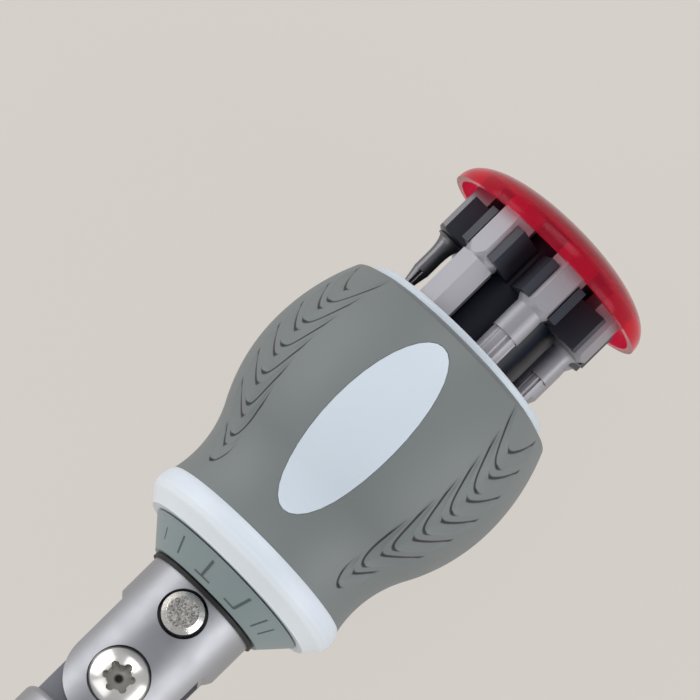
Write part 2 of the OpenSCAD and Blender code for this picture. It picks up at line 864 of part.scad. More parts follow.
// Place of a cross tip's flutes as a share of its radius
flute_share = 0.72;
// Radii of the necks as shares of the tips
neck_shares = [1.09, 1.3, 1.15, 1.1, 0.72, 1.1];

// Six-lobe tip
module lobe_tip(r) {
    translate([0, 0, tip_from])
        linear_extrude(bit_l - tip_from)
            difference() {
                circle(r = r);
                for (i = [0:5])
                    rotate(60 * i)
                        translate([r * hollow_at_share, 0])
                            circle(r = r * hollow_share);
            }
}

// Cross tip: a cone with four flutes
module cross_tip(r, point_r) {
    flute_lean = atan((r - point_r) / (bit_l - tip_from));
    difference() {
        turned([[0, tip_from], [r, tip_from], [r, tip_from + r / 2], [point_r, bit_l], [0, bit_l]]);
        for (i = [0:3])
            rotate([0, 0, 90 * i])
                translate([r * flute_share, 0, tip_from + r / 2])
                    rotate([0, -flute_lean, 0])
                        rotate([0, 0, -45])
                            cube([r, r, bit_l]);
    }
}

module bit_lobe() {
    bit(0, lobe_tip_r * neck_shares[0], hex_af / 3)
        lobe_tip(lobe_tip_r);
}

module bit_small_lobe() {
    bit(1, small_tip_r * neck_shares[1], hex_af / 4)
        lobe_tip(small_tip_r);
}

module bit_cross() {
    bit(2, lobe_tip_r * neck_shares[2], hex_af / 4)
        cross_tip(lobe_tip_r * neck_shares[2], small_tip_r / 2);
}

module bit_blade() {
    half_w = lobe_tip_r * neck_shares[3];
    bit(3, half_w, hex_af / 3)
        intersection() {
            translate([0, 0, tip_from])
                cylinder(r = half_w, h = bit_l - tip_from);
            plate_in_fold(-half_w, half_w)
                polygon([[-half_w, tip_from], [half_w, tip_from], [blade_t / 2, bit_l - blade_t],
                    [blade_t / 2, bit_l], [-blade_t / 2, bit_l], [-blade_t / 2, bit_l - blade_t]]);
        }
}

module bit_square() {
    bit(4, square_tip * neck_shares[4], hex_af / 3)
        translate([-square_tip / 2, -square_tip / 2, tip_from])
            cube([square_tip, square_tip, bit_l - tip_from]);
}

module bit_small_cross() {
    bit(5, small_tip_r * neck_shares[5], hex_af / 2, "#77777b")
        cross_tip(small_tip_r * neck_shares[5], small_tip_r / 3);
}

module bit_hex() {
    bit(6, hex_af / 2 - bit_gap, 0)
        rotate([0, 0, 30])
            hex_prism(hex_af, shank_l + bit_gap * 4, bit_l);
}

handle_core();
grip();
collar_ring();
guide_post();
post_ring();
ratchet_housing();
bearing_plate();
pawl_pin();
pawl();
selector_ring();
yoke();
drive_gear();
spindle_clip();
seal_ring();
pivot_screw();
lock_button();
lock_spring();
lock_plunger();
knuckle();
pivot_bush();
bit_holder();
socket_magnet();
socket_ring();
cap();
bit_carousel();
bit_lobe();
bit_small_lobe();
bit_cross();
bit_blade();
bit_square();
bit_small_cross();
bit_hex();
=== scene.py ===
"""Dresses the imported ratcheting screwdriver: finishes, chevron grip, see-through cap, light and camera."""

import json
import math

import bmesh
import bpy
import numpy as np
from mathutils import Matrix, Vector


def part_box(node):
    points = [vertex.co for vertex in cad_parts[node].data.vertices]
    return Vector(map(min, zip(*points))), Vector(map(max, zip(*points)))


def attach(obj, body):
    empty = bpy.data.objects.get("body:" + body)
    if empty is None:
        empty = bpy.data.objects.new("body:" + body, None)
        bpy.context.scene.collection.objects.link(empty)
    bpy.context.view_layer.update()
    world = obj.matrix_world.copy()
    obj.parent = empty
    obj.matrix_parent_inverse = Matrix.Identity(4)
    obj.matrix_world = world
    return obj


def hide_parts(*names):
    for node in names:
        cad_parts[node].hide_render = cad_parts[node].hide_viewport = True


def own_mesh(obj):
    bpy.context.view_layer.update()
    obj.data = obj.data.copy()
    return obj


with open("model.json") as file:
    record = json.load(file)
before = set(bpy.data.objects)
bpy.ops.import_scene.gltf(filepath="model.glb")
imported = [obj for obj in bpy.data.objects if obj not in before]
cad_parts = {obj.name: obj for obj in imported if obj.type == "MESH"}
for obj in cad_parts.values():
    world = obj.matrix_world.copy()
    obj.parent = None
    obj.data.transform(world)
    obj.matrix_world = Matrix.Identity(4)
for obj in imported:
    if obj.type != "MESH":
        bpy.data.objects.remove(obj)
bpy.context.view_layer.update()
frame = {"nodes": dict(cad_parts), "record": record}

# Sizes in mm, as in the CAD. Stations count along the tool from the handle's mouth
MM = 0.001
# The tip's station; the frame's origin is at the tip
TIP = 137.05
BELLY_R, BELLY_Z = 25.2, 18.0
SHOULDER_R, SHOULDER_Z = 21.8, 2.1
NECK_R, NECK_Z = 18.75, 43.6
LIP_R, LIP_H = 19.2, 1.2
RUBBER = 1.5
# The thumb pad: half its width, half its length, and its middle's station
PAD_W, PAD_L, PAD_Z = 6.8, 18.7, 23.6
RING_R, RING_H, RING_Z = 19.95, 6.65, 48.0
# The cap: its rim's station, its radius, height and the power of its dome, outside and then inside
CAP_Z = -20.15
CAP_R, CAP_H, CAP_POWER = 20.65, 7.5, 2.4
CAP_IN_R, CAP_IN_H, CAP_IN_POWER = 19.4, 4.5, 5
# The radius of its flat ceiling, the radius of the stud that plugs the column, and how far behind the rim
# the stud ends
CEILING_R, STUD_R, STUD_END = 10.62, 6.3, 1.8
# The direction ring's cone: its radius and station at the wide end, its radius at the narrow end, its height
CONE_R, CONE_Z = 16.1, 54.95
CONE_END_R, CONE_H = 11.8, 4.8

# Places in the frame, in mm. Where the head folds
PIVOT_X = -56.9
# Where the white ring's side turns into its bevel and its painted light begins, and over how much to each side
BEVEL_LIGHT_X, BEVEL_LIGHT_SOFT = -85.5, 0.9
# The top of the button's polished edge, and of the screw's recess
BUTTON_EDGE_Z, BUTTON_SOFT = 12.12, 0.02
RECESS_Z, RECESS_SOFT = 9.4, 0.2
# The recess's painted shade: its dark middle and where it is bright again, as distances from the screw's axis
RECESS_SHADE_R, RECESS_SHADE_END_R = 0.55, 1.0
# From the magazine's axis: the column's outside, and where the painted shade on the column gives way to the
# lighter clips
COLUMN_R, COLUMN_SHADE_END_R = 10.4, 11.4


def place(x, y, z):
    """A point given across the tool, up, and along it from the handle's mouth, in mm, in the frame."""
    return ((z - TIP) * MM, x * MM, y * MM)


# Materials

# Each slot's material, by its name
FINISH = {}
# How rich the patterns' noise is
NOISE = {"Detail": 2.0, "Roughness": 0.55}
RICH_NOISE = {"Detail": 3.0, "Roughness": 0.55}
# Noise keeps to the middle of its range, so what it drives runs between these two of its values
SPREAD = {"From_Min": 0.3, "From_Max": 0.7}


def linear(hex_colour):
    """sRGB hex to a linear colour with alpha."""
    out = []
    for i in (0, 2, 4):
        c = int(hex_colour[i:i + 2], 16) / 255
        out.append(c / 12.92 if c <= 0.04045 else ((c + 0.055) / 1.055) ** 2.4)
    return (*out, 1.0)


def per(size_mm):
    """A pattern's scale, from the size of its blotches."""
    return 1 / (size_mm * MM)


def add(tree, kind, output=None, **values):
    """A node with its settings and links. Returns the output that is named, or else the first in use.

    A value goes to the input of its name, or else to the setting of that name. A list fills inputs that
    share a name in turn, and a socket among the values is linked.
    """
    node = tree.nodes.new("ShaderNode" + kind)
    for name, value in values.items():
        sockets = [s for s in node.inputs if s.enabled and s.name == name.replace("_", " ")]
        if not sockets:
            setattr(node, name, value)
            continue
        for socket, item in zip(sockets, value if isinstance(value, list) else [value]):
            if isinstance(item, bpy.types.NodeSocket):
                tree.links.new(item, socket)
            else:
                socket.default_value = item
    return node.outputs[output] if output else next((s for s in node.outputs if s.enabled), None)


def material(name, colour):
    """An empty material for a slot, with its colour for plain views. Returns its tree and that colour."""
    mat = bpy.data.materials.new(name)
    mat.use_nodes = True
    mat.node_tree.nodes.clear()
    mat.diffuse_color = linear(colour)
    FINISH[name] = mat
    return mat.node_tree, linear(colour)


def core_plastic():
    """Pale ABS from a polished mould: a soft gloss that changes faintly over the surface."""
    tree, colour = material("core_plastic", "dfeaf4")
    where = add(tree, "TexCoord", "Object")
    patches = add(tree, "TexNoise", Vector=where, Scale=per(3), **NOISE)
    gloss = add(tree, "MapRange", Value=patches, To_Min=0.38, To_Max=0.46, **SPREAD)
    shader = add(tree, "BsdfPrincipled", Base_Color=colour, Roughness=gloss, IOR=1.5)
    add(tree, "OutputMaterial", Surface=shader)


def ring_plastic():
    """Off-white moulded ABS: a little glossier than the core, with painted light that makes its bevel whiter.
    """
    tree, colour = material("ring_plastic", "e9f1fb")
    where = add(tree, "TexCoord", "Object")
    along = add(tree, "SeparateXYZ", "X", Vector=where)
    # Painted light: the bevel is made whiter to lift the shade that falls on it
    bevel_painted_light = add(tree, "MapRange", Value=along, From_Min=(BEVEL_LIGHT_X - BEVEL_LIGHT_SOFT) * MM,
                From_Max=(BEVEL_LIGHT_X + BEVEL_LIGHT_SOFT) * MM)
    tone = add(tree, "Mix", data_type="RGBA", Factor=bevel_painted_light, A=colour, B=linear("f4fbff"))
    patches = add(tree, "TexNoise", Vector=where, Scale=per(3), **NOISE)
    gloss = add(tree, "MapRange", Value=patches, To_Min=0.36, To_Max=0.44, **SPREAD)
    shader = add(tree, "BsdfPrincipled", Base_Color=tone, Roughness=gloss, IOR=1.5)
    add(tree, "OutputMaterial", Surface=shader)


def grip_rubber():
    """Grey moulded thermoplastic rubber: matt, from a spark-eroded mould, with painted shade in its creases.

    The real grain is about 0.1 mm; 0.25 mm is the finest that shows.
    """
    tree, colour = material("grip_rubber", "7d8383")
    where = add(tree, "TexCoord", "Object")
    # Painted shade: a mask on the points darkens the rubber in the chevrons' creases, where shade falls
    crease_painted_shade = add(tree, "Attribute", "Fac", attribute_name="crease_shade")
    tone = add(tree, "Mix", data_type="RGBA", Factor=crease_painted_shade, A=colour, B=linear("1f2222"))
    grain = add(tree, "TexNoise", Vector=where, Scale=per(0.25), **RICH_NOISE)
    relief = add(tree, "Bump", Strength=1.0, Distance=0.012 * MM, Height=grain)
    handled = add(tree, "TexNoise", Vector=where, Scale=per(14), **NOISE)
    gloss = add(tree, "MapRange", Value=handled, To_Min=0.48, To_Max=0.56, **SPREAD)
    shader = add(tree, "BsdfPrincipled", Base_Color=tone, Roughness=gloss, IOR=1.5, Normal=relief)
    add(tree, "OutputMaterial", Surface=shader)


def selector_finish():
    """Grey-green paint on the direction ring: even, a little smoother than the rubber."""
    tree, colour = material("selector_metal", "929fa0")
    where = add(tree, "TexCoord", "Object")
    grain = add(tree, "TexNoise", Vector=where, Scale=per(0.4), **NOISE)
    relief = add(tree, "Bump", Strength=1.0, Distance=0.006 * MM, Height=grain)
    shader = add(tree, "BsdfPrincipled", Base_Color=colour, Roughness=0.45, IOR=1.5, Normal=relief)
    add(tree, "OutputMaterial", Surface=shader)


def satin_steel():
    """Cast steel, bead-blasted: broad soft highlights and a faint grain.

    The real beads leave dents of about 0.1 mm; 0.3 mm is the finest that shows.
    """
    tree, colour = material("satin_steel", "aaabb0")
    where = add(tree, "TexCoord", "Object")
    grain = add(tree, "TexNoise", Vector=where, Scale=per(0.3), **NOISE)
    relief = add(tree, "Bump", Strength=1.0, Distance=0.004 * MM, Height=grain)
    patches = add(tree, "TexNoise", Vector=where, Scale=per(5), **NOISE)
    gloss = add(tree, "MapRange", Value=patches, To_Min=0.46, To_Max=0.54, **SPREAD)
    shader = add(tree, "BsdfPrincipled", Base_Color=colour, Metallic=1.0, Roughness=gloss, Normal=relief)
    add(tree, "OutputMaterial", Surface=shader)


def bright_steel():
    """Nickel-plated steel, polished: sharp reflections, with faintly duller patches."""
    tree, colour = material("bright_steel", "d8d5cd")
    where = add(tree, "TexCoord", "Object")
    patches = add(tree, "TexNoise", Vector=where, Scale=per(2), **NOISE)
    gloss = add(tree, "MapRange", Value=patches, To_Min=0.12, To_Max=0.2, **SPREAD)
    shader = add(tree, "BsdfPrincipled", Base_Color=colour, Metallic=1.0, Roughness=gloss)
    add(tree, "OutputMaterial", Surface=shader)


def bit_steel(name, tone, metallic, roughness):
    """Tool steel, drawn and sandblasted: a dull even shine, with a grain that runs along the shank."""
    tree, colour = material(name, tone)
    where = add(tree, "TexCoord", "Object")
    drawn = add(tree, "Mapping", Vector=where, Scale=(0.3, 1, 1))
    grain = add(tree, "TexNoise", Vector=drawn, Scale=per(0.5), **NOISE)
    relief = add(tree, "Bump", Strength=1.0, Distance=0.004 * MM, Height=grain)
    shader = add(tree, "BsdfPrincipled", Base_Color=colour, Metallic=metallic, Roughness=roughness,
                 Normal=relief)
    add(tree, "OutputMaterial", Surface=shader)


def button_metal():
    """Plated button: a dark bead-blasted face with coarse glints painted into its colour, and a bright
    polished edge.

    The real beads leave dents of about 0.1 mm; 0.3 mm is the finest that shows.
    """
    tree, _ = material("button_metal", "8b8780")
    where = add(tree, "TexCoord", "Object")
    height = add(tree, "SeparateXYZ", "Z", Vector=where)
    face = add(tree, "MapRange", Value=height, From_Min=(BUTTON_EDGE_Z - BUTTON_SOFT) * MM,
               From_Max=(BUTTON_EDGE_Z + BUTTON_SOFT) * MM)
    beads = add(tree, "TexNoise", Vector=where, Scale=per(0.3), **RICH_NOISE)
    # Painted glints: the beads' highest values are painted bright in the face's colour
    painted_glint = add(tree, "MapRange", Value=beads, From_Min=0.36, From_Max=0.66)
    painted_sparkle = add(tree, "Mix", data_type="RGBA", Factor=painted_glint, A=linear("7c7a76"), B=linear("e4e2dd"))
    tone = add(tree, "Mix", data_type="RGBA", Factor=face, A=linear("f2f0ec"), B=painted_sparkle)
    gloss = add(tree, "MapRange", Value=face, To_Min=0.14, To_Max=0.5)
    relief = add(tree, "Bump", Strength=1.0, Distance=0.05 * MM, Height=beads)
    shader = add(tree, "BsdfPrincipled", Base_Color=tone, Metallic=0.85, Roughness=gloss, Normal=relief)
    add(tree, "OutputMaterial", Surface=shader)


def screw_steel():
    """Nickel-plated steel: the screw's crowned head mirrors the lamps, and shade is painted in its recess,
    darker inward.
    """
    tree, _ = material("screw_steel", "efedea")
    where = add(tree, "TexCoord", "Object")
    height = add(tree, "SeparateXYZ", "Z", Vector=where)
    head = add(tree, "MapRange", Value=height, From_Min=(RECESS_Z - RECESS_SOFT) * MM,
               From_Max=(RECESS_Z + RECESS_SOFT) * MM)
    # The distance from the screw's axis, in mm
    offset = add(tree, "VectorMath", operation="SUBTRACT", Vector=[where, (PIVOT_X * MM, 0, 0)])
    flat = add(tree, "VectorMath", operation="MULTIPLY", Vector=[offset, (1 / MM, 1 / MM, 0)])
    radius = add(tree, "VectorMath", operation="LENGTH", Vector=flat)
    # Painted shade: the recess darkens towards its middle, where shade falls
    recess_painted_shade = add(tree, "MapRange", Value=radius, From_Min=RECESS_SHADE_R, From_Max=RECESS_SHADE_END_R)
    painted_recess_tone = add(tree, "Mix", data_type="RGBA", Factor=recess_painted_shade, A=linear("3a3836"), B=linear("c9c6c0"))
    tone = add(tree, "Mix", data_type="RGBA", Factor=head, A=painted_recess_tone, B=linear("f2f0ec"))
    gloss = add(tree, "MapRange", Value=head, To_Min=0.3, To_Max=0.22)
    # The head is turned to a low crown, which falls by 0.07 mm at 1 mm from the axis
    square = add(tree, "Math", operation="POWER", Value=[radius, 2.0])
    fall = add(tree, "Math", operation="MULTIPLY", Value=[square, -0.07])
    relief = add(tree, "Bump", Strength=1.0, Distance=MM, Height=fall)
    shader = add(tree, "BsdfPrincipled", Base_Color=tone, Metallic=0.65, Roughness=gloss, Normal=relief)
    add(tree, "OutputMaterial", Surface=shader)


def magazine_plastic():
    """Black moulded nylon: a cold sheen, with painted shade that keeps the column darker than its clips."""
    tree, _ = material("magazine_plastic", "11141c")
    where = add(tree, "TexCoord", "Object")
    across = add(tree, "VectorMath", operation="MULTIPLY", Vector=[where, (0, 1, 1)])
    radius = add(tree, "VectorMath", operation="LENGTH", Vector=across)
    # Painted shade: the column, deep among the bits, is darker than the clips round it
    past_column_shade = add(tree, "MapRange", Value=radius, From_Min=COLUMN_R * MM, From_Max=COLUMN_SHADE_END_R * MM)
    tone = add(tree, "Mix", data_type="RGBA", Factor=past_column_shade, A=linear("1a1f2c"), B=linear("3c4049"))
    patches = add(tree, "TexNoise", Vector=where, Scale=per(4), **NOISE)
    gloss = add(tree, "MapRange", Value=patches, To_Min=0.3, To_Max=0.38, **SPREAD)
    shader = add(tree, "BsdfPrincipled", Base_Color=tone, Roughness=gloss, Specular_IOR_Level=0.3)
    add(tree, "OutputMaterial", Surface=shader)


def cap_plastic():
    """See-through red acrylic: light that crosses it turns a saturated red.

    Its IOR is under acrylic's 1.49, matched to the real cap, whose edges mirror little of the room.
    """
    tree, colour = material("cap_plastic", "f62c56")
    where = add(tree, "TexCoord", "Object")
    patches = add(tree, "TexNoise", Vector=where, Scale=per(6), **NOISE)
    gloss = add(tree, "MapRange", Value=patches, To_Min=0.13, To_Max=0.19, **SPREAD)
    shader = add(tree, "BsdfPrincipled", Base_Color=colour, Roughness=gloss, IOR=1.22,
                 Transmission_Weight=0.8)
    add(tree, "OutputMaterial", Surface=shader)


def plain(name, tone, metallic, roughness, patch_mm):
    """A small or inner piece's finish: one colour with a faint change of gloss."""
    tree, colour = material(name, tone)
    where = add(tree, "TexCoord", "Object")
    patches = add(tree, "TexNoise", Vector=where, Scale=per(patch_mm), **NOISE)
    gloss = add(tree, "MapRange", Value=patches, To_Min=roughness * 0.9, To_Max=roughness * 1.1, **SPREAD)
    shader = add(tree, "BsdfPrincipled", Base_Color=colour, Metallic=metallic, Roughness=gloss)
    add(tree, "OutputMaterial", Surface=shader)


core_plastic()
ring_plastic()
grip_rubber()
selector_finish()
satin_steel()
bright_steel()
bit_steel("bit_steel", "a6a5ab", 0.5, 0.5)
# The gunmetal bit has a dark oxide over the same steel
bit_steel("dark_bit_steel", "77777b", 0.9, 0.38)
button_metal()
screw_steel()
magazine_plastic()
cap_plastic()
# Matt black moulded rubber of the washer and the ring on the post
plain("seal_rubber", "1a1a1c", 0.0, 0.6, 2)
# Matt dark plastic of the guide post
plain("post_plastic", "55585e", 0.0, 0.55, 3)
# Turned steel of the ratchet
plain("ratchet_steel", "a3a6ab", 1.0, 0.35, 1)
# Turned bronze of the bush
plain("bush_bronze", "c29a58", 1.0, 0.3, 1)
# Dull plated magnet and split ring
plain("magnet_metal", "6b6e74", 1.0, 0.45, 1)
# Dark grey-green filling of the strokes on the direction ring
plain("mark_paint", "5a6564", 0.0, 0.6, 1)

SLOT = {part["node"]: part["material_slot"] for part in frame["record"]["subparts"]}
for name, piece in frame["nodes"].items():
    piece.data.materials.clear()
    piece.data.materials.append(FINISH["screw_steel" if name == "pivot_screw" else SLOT[name]])


# Pieces drawn here

# Points of a mesh that lie nearer than this, in metres, become one
MERGE = 1e-7


def mesh_piece(name, points, faces, slot, body, smooth=True, finish=None):
    """A mesh object that rides on a CAD body, in its slot's finish or another that is named."""
    mesh = bpy.data.meshes.new(name)
    mesh.from_pydata(points, [], faces)
    mesh.validate()
    mesh.polygons.foreach_set("use_smooth", [smooth] * len(mesh.polygons))
    mesh.materials.append(FINISH[finish or slot])
    piece = bpy.data.objects.new(name, mesh)
    bpy.context.scene.collection.objects.link(piece)
    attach(piece, body)
    return piece


def clean_mesh(piece, sharp, merge=None):
    """Drops loose points, merges near ones if asked, turns the faces outward and marks the sharp edges."""
    bm = bmesh.new()
    bm.from_mesh(piece.data)
    bmesh.ops.delete(bm, geom=[v for v in bm.verts if not v.link_faces], context="VERTS")
    if merge:
        bmesh.ops.remove_doubles(bm, verts=bm.verts, dist=merge)
    bmesh.ops.recalc_face_normals(bm, faces=bm.faces)
    bm.to_mesh(piece.data)
    bm.free()
    piece.data.set_sharp_from_angle(angle=math.radians(sharp))


def lathe(name, outline, slot, body, steps, sharp):
    """An outline of (radius, station) turned about the axis."""
    points, faces = [], []
    count = len(outline)
    for i in range(steps):
        a = 2 * math.pi * i / steps
        for r, z in outline:
            points.append(place(r * math.sin(a), r * math.cos(a), z))
    for i in range(steps):
        j = (i + 1) % steps
        for k in range(count - 1):
            faces.append((i * count + k, j * count + k, j * count + k + 1, i * count + k + 1))
    piece = mesh_piece(name, points, faces, slot, body)
    clean_mesh(piece, sharp, MERGE)
    return piece


# The grip's side is three arcs: one up to the belly, one past it and one at the neck
UPPER_ARC = ((BELLY_Z - SHOULDER_Z) ** 2 + (BELLY_R - SHOULDER_R) ** 2) / (2 * (BELLY_R - SHOULDER_R))
BEND = 2 * math.atan((BELLY_R - NECK_R) / (NECK_Z - BELLY_Z))
BOTH_ARCS = (NECK_Z - BELLY_Z) / math.sin(BEND)
BELLY_SHARE = 0.617
BELLY_ARC = BOTH_ARCS * BELLY_SHARE
NECK_ARC = BOTH_ARCS - BELLY_ARC
BEND_Z = BELLY_Z + BELLY_ARC * math.sin(BEND)


def grip_r(z):
    """The grip's radius at a station."""
    if z < BELLY_Z:
        return BELLY_R - UPPER_ARC + math.sqrt(UPPER_ARC ** 2 - (z - BELLY_Z) ** 2)
    if z < BEND_Z:
        return BELLY_R - BELLY_ARC + math.sqrt(BELLY_ARC ** 2 - (z - BELLY_Z) ** 2)
    return NECK_R + NECK_ARC - math.sqrt(NECK_ARC ** 2 - (NECK_Z - z) ** 2)


# The sunk chevrons lie in rows on both sides of each pad: each row's angle, and its way round from the pad
ROWS = ((53.2, 1), (126.8, -1), (233.2, 1), (306.8, -1))
CHEVRONS = 7
FIRST_APEX, CHEVRON_STEP = 8.48, 5.36
# The arm near the pad is bent: its reach in degrees, its rise in mm and the power of its bend
NEAR_ARM, NEAR_RISE, NEAR_BEND = 11.4, 8.9, 2.1
# The far arm is nearly straight: its reach in degrees, its rise in mm to a degree, the round at its foot in
# degrees, and the share by which it steepens outward
FAR_ARM, FAR_SLOPE, FAR_ROUND, FAR_STEEPER = 14.5, 0.385, 1.7, 0.2
# The degrees over which one arm's section passes into the other's
ARM_BLEND = 2.4
# How fast the arms run out at their ends, and how far the last chevron reaches
END_FADE, END_POWER = 7, 0.7
LAST_REACH = 0.72
# The channel's height between its edges and its depth, the widths of the walls at its deep and its shallow
# edge, and the share of the depth that the floor has at the shallow edge
CHANNEL_TALL, CHANNEL_DEPTH = 3.2, 0.42
DEEP_WALL, SHALLOW_WALL = 0.6, 0.3
FLOOR_SHARE = 0.12
# The painted shade line along the deep wall, where shadow falls: how far in from the channel's edge, half its
# width, its soft edge, and how fast it runs out at the arm's end
PAINTED_SHADE_AT, PAINTED_SHADE_HALF = -0.1, 0.42
PAINTED_SHADE_SOFT, PAINTED_SHADE_FADE = 0.16, 16
# Each painted shade line thins out into a small hook past the row's middle: the hooks' lengths in degrees,
# their last stretches, the share of the line's width that is left, and how early the near one starts
FAR_HOOK, NEAR_HOOK = 3, 3.4
FAR_HOOK_END, NEAR_HOOK_END = 1.2, 1.4
HOOK_THIN, HOOK_EARLY = 0.35, 0.3


def ramp(value):
    """A value kept between zero and one."""
    return np.clip(value, 0, 1)


def chevron_depth(away, z, r):
    """How deep the skin is sunk, and how dark the painted shade in a crease is, at an angle past a row's
    middle and a station.
    """
    reach = np.where(away < 0, -away / NEAR_ARM, away / FAR_ARM)
    inside = reach < 1
    reach = np.minimum(reach, 1)
    rounded = np.sqrt(away ** 2 + FAR_ROUND ** 2)
    steeper = 1 - FAR_STEEPER + FAR_STEEPER * reach
    rise = np.where(away < 0, NEAR_RISE * reach ** NEAR_BEND, FAR_SLOPE * (rounded - FAR_ROUND) * steeper)
    near_slope = NEAR_RISE * NEAR_BEND / NEAR_ARM * reach ** (NEAR_BEND - 1)
    per_degree = np.radians(1) * r
    slope = np.where(away < 0, near_slope, FAR_SLOPE * away / rounded) / per_degree
    lean = 1 / np.sqrt(1 + slope ** 2)
    far = ramp(away / ARM_BLEND + 0.5)
    near = 1 - far
    fade = ramp((1 - reach) * END_FADE) ** END_POWER
    half_far = PAINTED_SHADE_HALF * np.clip(1 + away / FAR_HOOK, HOOK_THIN, 1)
    half_near = PAINTED_SHADE_HALF * np.clip(1 - (away + HOOK_EARLY) / NEAR_HOOK, HOOK_THIN, 1)
    deepest, crease_painted_shade = np.zeros_like(z), np.zeros_like(z)
    for k in range(CHEVRONS):
        past_in = z - (FIRST_APEX + CHEVRON_STEP * k - rise)
        past_out = CHANNEL_TALL - past_in
        across = ramp(past_in / CHANNEL_TALL)
        # On the far side the floor is deepest at the inner edge, on the near side at the outer edge
        floor_far = 1 + (FLOOR_SHARE - 1) * across
        floor_near = FLOOR_SHARE + (1 - FLOOR_SHARE) * across
        deep = floor_far * far + floor_near * near
        wall_in = ramp(past_in * lean / (DEEP_WALL * far + SHALLOW_WALL * near) + 0.5 * far)
        wall_out = ramp(past_out * lean / (SHALLOW_WALL * far + DEEP_WALL * near) + 0.5 * near)
        kept = inside * (ramp((LAST_REACH - reach) * END_FADE) if k == CHEVRONS - 1 else 1.0)
        deepest = np.maximum(deepest, deep * wall_in * wall_out * fade * kept)
        # The dark lines along the channels' deep walls are painted shade
        shade_line_far = ramp((half_far - np.abs(past_in * lean - PAINTED_SHADE_AT)) / PAINTED_SHADE_SOFT)
        shade_line_near = ramp((half_near - np.abs(past_out * lean - PAINTED_SHADE_AT)) / PAINTED_SHADE_SOFT)
        shade_line_far = shade_line_far * ramp((away + FAR_HOOK) / FAR_HOOK_END)
        shade_line_near = shade_line_near * ramp((NEAR_HOOK - away) / NEAR_HOOK_END)
        ends = ramp((1 - reach) * PAINTED_SHADE_FADE) * kept
        crease_painted_shade = np.maximum(crease_painted_shade, np.maximum(shade_line_far, shade_line_near) * ends)
    return CHANNEL_DEPTH * deepest, crease_painted_shade


# The skin's mesh: its rows along the grip, its steps in degrees in the chevron rows, by the pads and
# elsewhere, and how far round the first two reach
SKIN_ROWS = 320
FINE_STEP, PAD_STEP, WIDE_STEP = 0.3, 0.6, 1.2
FINE_FROM, FINE_TO, PAD_REACH = -12, 16, 18
# The skin's rows begin past the shoulder's round and end before the foot's edge
SKIN_START, SKIN_END = 0.35, 0.15
# The edge at the mouth: its first step from the lip, where the shoulder's round begins, and the round's
# points, out and along from the shoulder's corner. The foot has a small edge
LIP_STEP, ROUND_START = 1.2, 0.45
ROUND = ((-0.22, -0.02), (-0.02, 0.12))
FOOT_EDGE = 0.1
# How deep a window's wall goes
WINDOW_WALL = 1.2
# As shares of the oval: how far in a kept face may reach, how far out the window's edge may lie, and how far
# out it is looked for
OVAL_KEPT, OVAL_EDGE, OVAL_NEAR = 0.985, 1.15, 1.3


def skin_angles():
    """Angles round the grip from the front pad: close together in the chevron rows, wide elsewhere."""
    out = []
    a = 0.0
    while a < 360 - 1e-6:
        out.append(a)
        fine = any(FINE_FROM < (a - centre) * turn < FINE_TO for centre, turn in ROWS)
        pad = min(a % 180, 180 - a % 180) < PAD_REACH
        a += FINE_STEP if fine else PAD_STEP if pad else WIDE_STEP
    return np.array(out)


def skin_grid(angles):
    """The skin's radius, station and crease, in rows from the mouth to the foot."""
    stations = np.linspace(SHOULDER_Z + SKIN_START, RING_Z - SKIN_END, SKIN_ROWS)
    # The edge at the mouth: up the slope from the lip, and round the corner
    slope = (SHOULDER_Z - LIP_H) / (SHOULDER_R - LIP_R)
    head = [(LIP_R, LIP_H + RUBBER), (LIP_R, LIP_H), (LIP_R + LIP_STEP, LIP_H + LIP_STEP * slope),
            (SHOULDER_R - ROUND_START, SHOULDER_Z - ROUND_START * slope)]
    head += [(SHOULDER_R + out, SHOULDER_Z + along) for out, along in ROUND]
    foot_r = grip_r(RING_Z)
    foot = [(foot_r - FOOT_EDGE, RING_Z), (foot_r - RUBBER, RING_Z)]
    base = np.array([grip_r(z) for z in stations])[:, None]
    r = np.repeat(base, len(angles), axis=1)
    z = np.repeat(stations[:, None], len(angles), axis=1)
    crease_painted_shade = np.zeros_like(r)
    for centre, turn in ROWS:
        away = ((angles - centre + 180) % 360 - 180) * turn
        sunk, painted_shade = chevron_depth(np.repeat(away[None, :], SKIN_ROWS, axis=0), z, base)
        r = r - sunk
        crease_painted_shade = np.maximum(crease_painted_shade, painted_shade)
    # The edges are the same all the way round, and have no painted crease shade
    head, foot = (np.repeat(np.array(edge)[:, :, None], len(angles), axis=2) for edge in (head, foot))
    r = np.vstack([head[:, 0], r, foot[:, 0]])
    z = np.vstack([head[:, 1], z, foot[:, 1]])
    crease_painted_shade = np.pad(crease_painted_shade, ((len(head), len(foot)), (0, 0)))
    return r, z, crease_painted_shade


def open_windows(points, quads, oval):
    """Draws the corners at each window's edge onto the oval, and adds a wall inward. Returns all faces."""
    near = quads[oval[quads].min(axis=1) < OVAL_NEAR]
    edges = {}
    for quad in near.tolist():
        for a, b in zip(quad, quad[1:] + quad[:1]):
            edges.setdefault((min(a, b), max(a, b)), []).append((a, b))
    rim = [sides[0] for ends, sides in edges.items() if len(sides) == 1 and max(oval[list(ends)]) < OVAL_EDGE]
    inner = {}
    for q in (end for edge in rim for end in edge):
        if q in inner:
            continue
        x, y, z = points[q]
        x, z = x / oval[q], PAD_Z + (z - PAD_Z) / oval[q]
        y = math.copysign(math.sqrt(grip_r(z) ** 2 - x * x), y)
        points[q] = [x, y, z]
        inner[q] = len(points)
        points.append([x, y * (1 - WINDOW_WALL / grip_r(z)), z])
    return quads.tolist() + [(b, a, inner[a], inner[b]) for a, b in rim]


